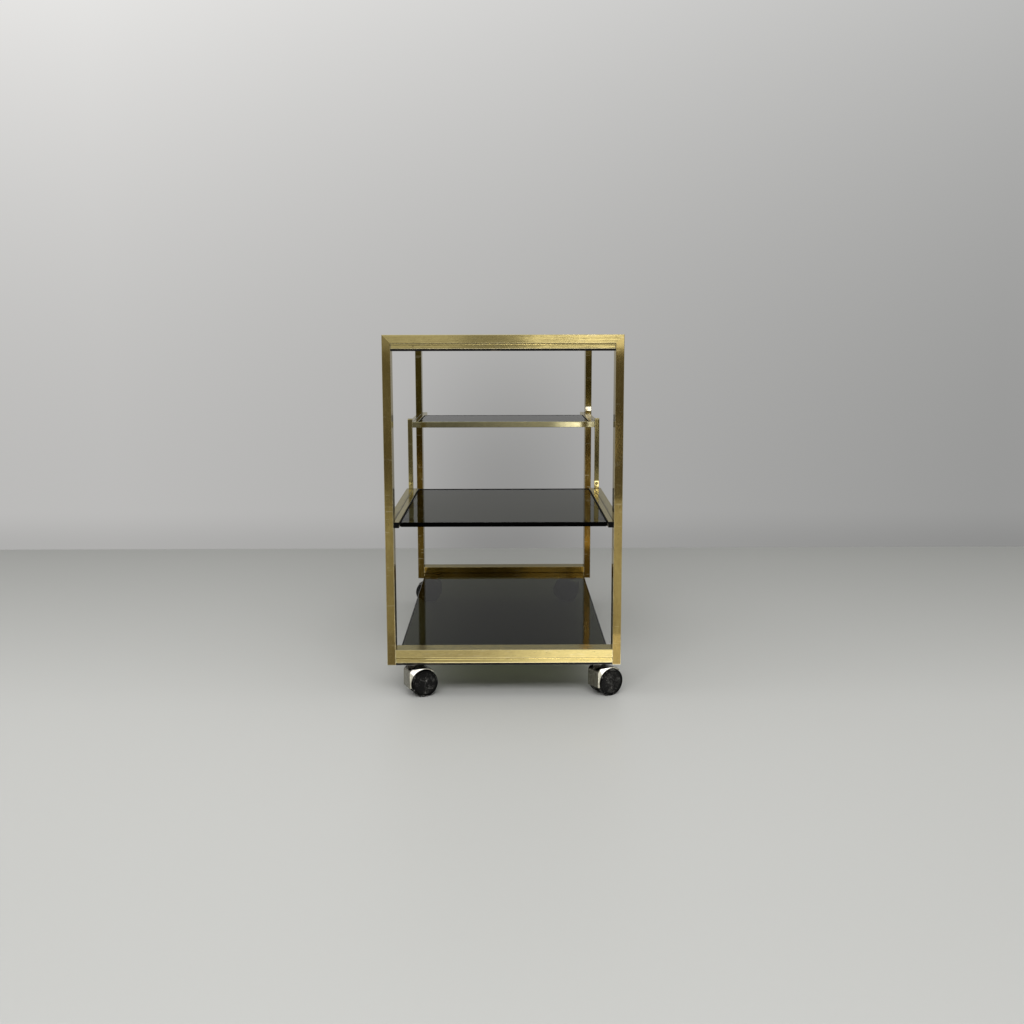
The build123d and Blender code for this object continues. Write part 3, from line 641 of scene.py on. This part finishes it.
def makeHoodChrome(name, shift):
    look = hoodLook
    material, tree, shader, place = newMaterial(name + "Chrome")
    turn = radians(onePick(look["turns"], name))
    axle = (sin(turn), -cos(turn), 0.0)
    backward = (cos(turn), sin(turn), 0.0)
    facing = addNode(tree, "ShaderNodeTexCoord").outputs["Normal"]
    fromStem = vectorNode(tree, "SUBTRACT", place, onePick(look["stems"], name))
    height = splitNode(tree, place)["Z"]

    # the polished ring round the wheels, its brightness shaped as painted highlight: less bright low down,
    # at the back and at its upper corner
    sideways = mathNode(tree, "ABSOLUTE", vectorNode(tree, "DOT_PRODUCT", facing, axle, "Value"))
    outward = mathNode(tree, "ABSOLUTE", vectorNode(tree, "DOT_PRODUCT", fromStem, axle, "Value"))
    ringFace = times(tree, rangeNode(tree, sideways, *look["ringSide"]),
                     rangeNode(tree, outward, *look["ringFrom"]))
    behind = vectorNode(tree, "DOT_PRODUCT", fromStem, backward, "Value")
    corner = plus(tree, height, times(tree, behind, onePick(look["slope"], name)))
    paintedShine = times(tree, ringFace, rangeNode(tree, behind, *look["ringBack"]))
    paintedShine = times(tree, paintedShine, rangeNode(tree, height, *look["ringLow"]))
    paintedShine = times(tree, paintedShine, rangeNode(tree, corner, *look["ringCorner"]))
    upward = rangeNode(tree, splitNode(tree, facing)["Z"], *look["facingUp"])
    # painted reflection: faces that look up, and the neck, go nearly black for the dark underside they
    # mirror
    paintedDarkTop = times(tree, mathNode(tree, "MAXIMUM", upward, rangeNode(tree, height, *look["neck"])),
                    minus(tree, 1.0, ringFace))

    marks = useGroup(tree, tarnish, {"Place": place, "Shift": shift, **look["tarnish"]})
    scratch = useGroup(tree, scratches, {"Place": place, **look["scratches"]})["Marks"]
    streaks = useGroup(tree, grainLines, {"Place": place, "Stretch": look["streaks"]})["Lines"]
    low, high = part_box(name)
    grime = rangeNode(tree, height, low.z + look["grimeHeight"], low.z, 0.0, 0.75)
    worn = mixColor(tree, times(tree, marks["Stains"], 0.35), look["plate"], look["dull"])
    # painted reflection: the rest of the hood is dark olive for the brass it mirrors
    side = mixColor(tree, rangeNode(tree, streaks, 0.40, 0.62), look["side"], look["sideDark"])
    side = mixColor(tree, times(tree, marks["Clouds"], 0.35), side, look["dull"])
    color = mixColor(tree, paintedShine, side, worn)
    color = mixColor(tree, times(tree, paintedDarkTop, 0.95), color, look["top"])
    color = mixColor(tree, times(tree, marks["Flecks"], 0.7), color, look["rust"])
    color = mixColor(tree, times(tree, grime, marks["Broad"]), color, look["grime"])
    color = mixColor(tree, times(tree, scratch, 0.5), color, look["scratched"])
    rough = plus(tree, times(tree, marks["Clouds"], 0.14), look["roughness"])
    rough = plus(tree, rough, times(tree, scratch, 0.15), clamp=True)
    waves = noiseNode(tree, place, look["waveScale"])
    fill(tree, shader, {"Base Color": color, "Roughness": rough, "Metallic": 1.0,
                        "Normal": bumpNode(tree, waves, look["wave"])})
    return material


wheelLook = {
    "black": (0.0020, 0.0020, 0.0019),
    "disc": (0.0045, 0.0044, 0.0042),
    "worn": (0.045, 0.044, 0.041),
    "scuff": (0.20, 0.195, 0.18),
    "dust": (0.34, 0.33, 0.31),
    "groove": (0.0208, 0.0226),                     # between the disc and the rim, out from the axle; left black as painted shade
    "grooveBlur": 0.0004,
    "roughness": 0.30,
    "level": 0.05,
    "tarnish": {"Cloud Scale": 70.0, "Stain Scale": 260.0, "Fleck Scale": 420.0},
    "scratches": {"Density": 1.0, "Scale": 60.0},
    "dentScale": 240.0,
    "dent": 0.00025,
}


def makeWheelBlack(name):
    # worn patches, scratches and specks on the disc, and rubbed patches on the rim that partly stand in as
    # painted highlight
    look = wheelLook
    material, tree, shader, place = newMaterial(name + "Black")
    low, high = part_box(name)
    centre = (low + high) / 2
    radius = vectorNode(tree, "LENGTH", vectorNode(tree, "SUBTRACT", place, centre), result="Value")
    shift = (centre.x * 40, centre.y * 30, 0.0)        # so that no two wheels are worn alike
    scratch = useGroup(tree, scratches, {"Place": place, **look["scratches"]})["Marks"]
    marks = useGroup(tree, tarnish, {"Place": place, "Shift": shift, **look["tarnish"]})
    near, far = look["groove"]
    disc = rangeNode(tree, radius, near, near - look["grooveBlur"])
    rim = rangeNode(tree, radius, far, far + look["grooveBlur"])
    patchy = rangeNode(tree, times(tree, marks["Clouds"], marks["Stains"]), 0.10, 0.80)
    scored = times(tree, disc, times(tree, marks["Clouds"], 0.25))
    specks = times(tree, marks["Flecks"], times(tree, marks["Clouds"], disc))
    rubbed = rangeNode(tree, times(tree, marks["Stains"], marks["Clouds"]), 0.35, 0.7)
    color = mixColor(tree, disc, look["black"], look["disc"])
    color = mixColor(tree, times(tree, patchy, disc), color, look["worn"])
    color = mixColor(tree, times(tree, scratch, scored), color, look["scuff"])
    color = mixColor(tree, times(tree, specks, 0.8), color, look["dust"])
    # partly painted highlight: lighter rubbed patches on the rim
    color = mixColor(tree, times(tree, rubbed, times(tree, rim, 0.5)), color, look["scuff"])
    rough = plus(tree, times(tree, marks["Clouds"], 0.3), look["roughness"])
    rough = plus(tree, rough, times(tree, scratch, 0.2), clamp=True)
    dents = noiseNode(tree, place, look["dentScale"], 4.0)
    fill(tree, shader, {"Base Color": color, "Roughness": rough, "Specular IOR Level": look["level"],
                        "Normal": bumpNode(tree, dents, look["dent"], 0.6)})
    return material


steelLook = {
    "bright": (0.17, 0.165, 0.155),
    "dark": (0.07, 0.066, 0.058),
    "rust": (0.12, 0.08, 0.05),
    "roughness": 0.2,
    "turning": (120, 120, 1600),
    "turned": 0.00005,
    "tarnish": {"Cloud Scale": 90.0, "Fleck Scale": 800.0},
}


def makeTurnedSteel():
    look = steelLook
    material, tree, shader, place = newMaterial("turnedSteel")
    rings = useGroup(tree, grainLines, {"Place": place, "Stretch": look["turning"]})["Lines"]
    marks = useGroup(tree, tarnish, {"Place": place, **look["tarnish"]})
    color = mixColor(tree, times(tree, marks["Clouds"], 0.6), look["bright"], look["dark"])
    color = mixColor(tree, times(tree, marks["Flecks"], 0.7), color, look["rust"])
    fill(tree, shader, {"Base Color": color, "Metallic": 1.0,
                        "Roughness": plus(tree, times(tree, rings, 0.25), look["roughness"]),
                        "Normal": bumpNode(tree, rings, look["turned"], 0.6)})
    return material


def dressOthers():
    rubber = makeBlackSoft("blackRubber")
    finishes = {"black_steel": makeBlackPaint(), "black_rubber": rubber,
                "black_plastic": makeBlackSoft("blackPlastic"), "steel": makeTurnedSteel()}
    for count, name in enumerate(sorted(nodes)):
        slot = slotOf[name]
        if slot in finishes:
            dress(name, finishes[slot])
        elif slot == "smoked_glass":
            dress(name, makeGlass(name))
        elif slot == "hood_chrome":
            dress(name, makeHoodChrome(name, (count * 0.9, count * 1.7, 0.0)))
        elif slot == "wheel_black":
            dress(name, makeWheelBlack(name))
    for name in ("middleSeal", "upperSeal"):
        makeSeal(name).data.materials.append(rubber)


dressOthers()
print("glass, black parts, steel and casters dressed")


# the room: floor, wall and what the metal mirrors

stageLook = {
    "floorFront": (0.435, 0.437, 0.424),
    "floor": (0.525, 0.527, 0.511),
    "floorFar": (0.400, 0.405, 0.390),
    "floorRoughness": 0.45,
    "floorPlace": (0, -1.9, 0),
    "floorSize": (14, 6.0),
    "floorBack": (-0.45, 1.1),                      # where the far colour begins and is full
    "floorNear": (-0.35, -1.5),
    "wallLeft": (0.565, 0.56, 0.55),
    "wallRight": (0.355, 0.355, 0.35),
    "wallAt": 1.10,
    "wallSize": (14, 3.2),
    "wallSides": (-1.2, 1.5),
    "wallLift": (0.0, 2.56, 0.88, 1.38),            # brighter with the square of the height
    "wallFootShade": (0.0, 0.13, 0.86, 1.0),
    "paintedPatch": 0.30,                                  # painted shadow of the cart: how much darker the wall is low behind it
    "shadowHeight": 0.08,
    "shadowReach": (0.05, 0.72),
    "shadowStretch": (1.7, 1.0, 1.0),
    "air": (0.24, 0.235, 0.225),
    "airTop": (0.64, 0.64, 0.625),
    "airSeen": (0.50, 0.50, 0.495),
    "airRise": (0.05, 0.8),
    "quarterTurn": 1.5708,
}


def addPlane(name, middle, size, turn=(0, 0, 0)):
    bpy.ops.object.select_all(action="DESELECT")
    bpy.ops.mesh.primitive_plane_add(size=1.0, location=middle, rotation=turn)
    plane = bpy.context.object
    plane.name = name
    plane.scale = (*size, 1.0)
    bpy.ops.object.transform_apply(location=True, rotation=True, scale=True)
    return plane


def castNoLight(plane, seen):
    # polished metal and glass mirror the plane, but it lights nothing and throws no shadow
    plane.visible_camera = seen
    plane.visible_transmission = seen
    plane.visible_diffuse = False
    plane.visible_shadow = False


def setGlow(tree, output, color, strength):
    # bright from the front and clear from behind
    glow = addNode(tree, "ShaderNodeEmission", {"Color": color, "Strength": strength})
    clear = addNode(tree, "ShaderNodeBsdfTransparent")
    behind = addNode(tree, "ShaderNodeNewGeometry").outputs["Backfacing"]
    both = addNode(tree, "ShaderNodeMixShader", {0: behind, 1: glow.outputs[0], 2: clear.outputs[0]})
    fill(tree, output, {"Surface": both.outputs[0]})


def makeFloor():
    # painted light: the floor is darker towards the front and towards the wall, for how the light falls off
    look = stageLook
    floor = addPlane("studioFloor", look["floorPlace"], look["floorSize"])
    material, tree, shader, place = newMaterial("floorPaintedLight")
    along = splitNode(tree, place)["Y"]
    far = rangeNode(tree, along, *look["floorBack"], soft=False)
    color = mixColor(tree, far, look["floor"], look["floorFar"])
    color = mixColor(tree, rangeNode(tree, along, *look["floorNear"]), color, look["floorFront"])
    fill(tree, shader, {"Base Color": color, "Roughness": look["floorRoughness"]})
    floor.data.materials.append(material)


def makeWall():
    # the wall glows with painted light: brighter to the left and higher up, darker at its foot as painted
    # shade, with a painted shadow of the cart
    look = stageLook
    middle = (0, look["wallAt"], look["wallSize"][1] / 2)
    wall = addPlane("studioWall", middle, look["wallSize"], (look["quarterTurn"], 0, 0))
    material, tree, output, place = blankMaterial("wallGlow")
    x, y, z = splitNode(tree, place)
    across = rangeNode(tree, x, *look["wallSides"], soft=False)
    color = mixColor(tree, across, look["wallLeft"], look["wallRight"])
    lift = rangeNode(tree, times(tree, z, z), *look["wallLift"], soft=False)
    away = vectorNode(tree, "SUBTRACT", place, (0.0, look["wallAt"], look["shadowHeight"]))
    stretched = vectorNode(tree, "MULTIPLY", away, look["shadowStretch"])
    distance = vectorNode(tree, "LENGTH", stretched, result="Value")
    shade = rangeNode(tree, distance, *look["shadowReach"], 1.0 - look["paintedPatch"], 1.0)
    shade = times(tree, shade, rangeNode(tree, z, *look["wallFootShade"]))
    setGlow(tree, output, color, times(tree, lift, shade))
    wall.data.materials.append(material)
    castNoLight(wall, seen=True)


# cards that only polished metal and glass see, from dim to bright between from and to

cardLook = {
    "leftWindow": {"low": (-2.4, 0.30), "high": (-0.30, 2.2), "at": -6.0, "from": -1.0, "to": -0.3,
                   "dim": 0.40, "bright": 0.44, "color": (1.0, 0.98, 0.95)},
    "middleWindow": {"low": (0.15, 0.56), "high": (0.39, 2.0), "at": -6.0, "from": 0.15, "to": 0.4,
                     "dim": 0.95, "bright": 1.15, "color": (1.0, 0.97, 0.92)},
    "rightWindow": {"low": (0.44, 0.56), "high": (1.4, 2.0), "at": -6.0, "from": 0.4, "to": 1.4,
                    "dim": 1.25, "bright": 1.15, "color": (1.0, 0.97, 0.92)},
    "highWindow": {"low": (0.575, 1.38), "high": (0.755, 2.30), "at": -5.9, "axis": "Z", "from": 1.45,
                   "to": 2.02, "dim": 1.5, "bright": 10.0, "color": (1.0, 0.93, 0.82)},
    "highLeft": {"low": (-0.745, 1.38), "high": (-0.585, 2.1), "at": -5.9, "from": -0.7, "to": -0.6,
                 "dim": 0.85, "bright": 0.85, "color": (1.0, 0.97, 0.80)},
    "lowScreen": {"low": (-1.6, 0.0), "high": (1.6, 0.590), "at": -2.95, "from": -0.5, "to": 0.5,
                  "dim": 0.21, "bright": 0.16, "color": (1.0, 0.95, 0.86)},
    "lowGlow": {"low": (-0.35, 0.13), "high": (0.29, 0.35), "at": -2.94, "from": -0.30, "to": 0.27,
                "dim": 0.20, "bright": 0.48, "color": (1.0, 0.97, 0.90)},
    "lowStrip": {"low": (0.25, 0.17), "high": (0.415, 0.31), "at": -2.93, "from": 0.22, "to": 0.32,
                 "dim": 0.7, "bright": 2.3, "color": (1.0, 0.97, 0.92)},
    "floorGlare": {"low": (-0.36, -0.84), "high": (0.34, -0.56), "at": 0.001, "flat": True,
                   "from": -0.10, "to": 0.20, "dim": 0.40, "bright": 1.10, "color": (1.0, 0.97, 0.92)},
    "hoodGlare": {"low": (-0.14, -0.55), "high": (0.50, -0.40), "at": 0.001, "flat": True,
                  "from": -0.1, "to": 0.3, "dim": 1.7, "bright": 2.4, "color": (1.0, 0.99, 0.96)},
}


def makeCard(name, look):
    (left, bottom), (right, top), at = look["low"], look["high"], look["at"]
    flat = look.get("flat", False)                  # lies on the floor
    across, up = (left + right) / 2, (bottom + top) / 2
    middle = (across, up, at) if flat else (across, at, up)
    turn = 0.0 if flat else -stageLook["quarterTurn"]
    card = addPlane(name, middle, (right - left, top - bottom), (turn, 0, 0))
    material, tree, output, place = blankMaterial(name)
    along = splitNode(tree, place)[look.get("axis", "X")]
    power = rangeNode(tree, along, look["from"], look["to"], look["dim"], look["bright"])
    setGlow(tree, output, rgba(look["color"]), power)
    card.data.materials.append(material)
    castNoLight(card, seen=False)


def makeAir():
    look = stageLook
    world = bpy.data.worlds.new("studioAir")
    bpy.context.scene.world = world
    world.use_nodes = True
    tree = world.node_tree
    tree.nodes.clear()
    direction = addNode(tree, "ShaderNodeTexCoord").outputs["Generated"]
    rise = rangeNode(tree, splitNode(tree, direction)["Z"], *look["airRise"])
    light = mixColor(tree, rise, look["air"], look["airTop"])
    seen = addNode(tree, "ShaderNodeLightPath").outputs["Is Camera Ray"]
    sky = addNode(tree, "ShaderNodeBackground", {"Color": mixColor(tree, seen, light, look["airSeen"])})
    addNode(tree, "ShaderNodeOutputWorld", {"Surface": sky.outputs[0]})


lampLook = {
    "ceiling": {"place": (0.0, -0.9, 2.8), "size": (2.6, 2.0), "power": 9.0, "turn": (0.15, 0.0, 0.0)},
    "front": {"place": (0.0, -2.9, 2.25), "size": (2.6, 1.0), "power": 78.0, "turn": (0.88, 0.0, 0.0)},
    "leftFill": {"place": (-2.6, -1.2, 1.6), "size": (1.4, 1.4), "power": 9.0,
                 "turn": (1.15, 0.0, -1.15)},
}


def makeLamps():
    for name, look in lampLook.items():
        lamp = bpy.data.lights.new(name, "AREA")
        lamp.shape = "RECTANGLE"
        lamp.size, lamp.size_y = look["size"]
        lamp.energy = look["power"]
        piece = bpy.data.objects.new(name, lamp)
        bpy.context.scene.collection.objects.link(piece)
        piece.location = look["place"]
        piece.rotation_euler = look["turn"]
        piece.visible_glossy = False                # the metal mirrors the cards instead


cameraLook = {"place": (0.00243, -2.41913, 0.64901), "turn": (1.41950, 0.002076, -0.006417),
              "lens": 40.78, "sensor": 36.0, "nearest": 0.05}


def makeCamera():
    look = cameraLook
    camera = bpy.data.cameras.new("camera")
    camera.lens = look["lens"]
    camera.sensor_width = look["sensor"]
    camera.clip_start = look["nearest"]
    piece = bpy.data.objects.new("camera", camera)
    bpy.context.scene.collection.objects.link(piece)
    piece.location = look["place"]
    piece.rotation_euler = look["turn"]
    bpy.context.scene.camera = piece


makeFloor()
makeWall()
for name, look in cardLook.items():
    makeCard(name, look)
makeAir()
makeLamps()
makeCamera()
bpy.context.scene.view_settings.view_transform = "Standard"
print("stage, lamps and camera set")
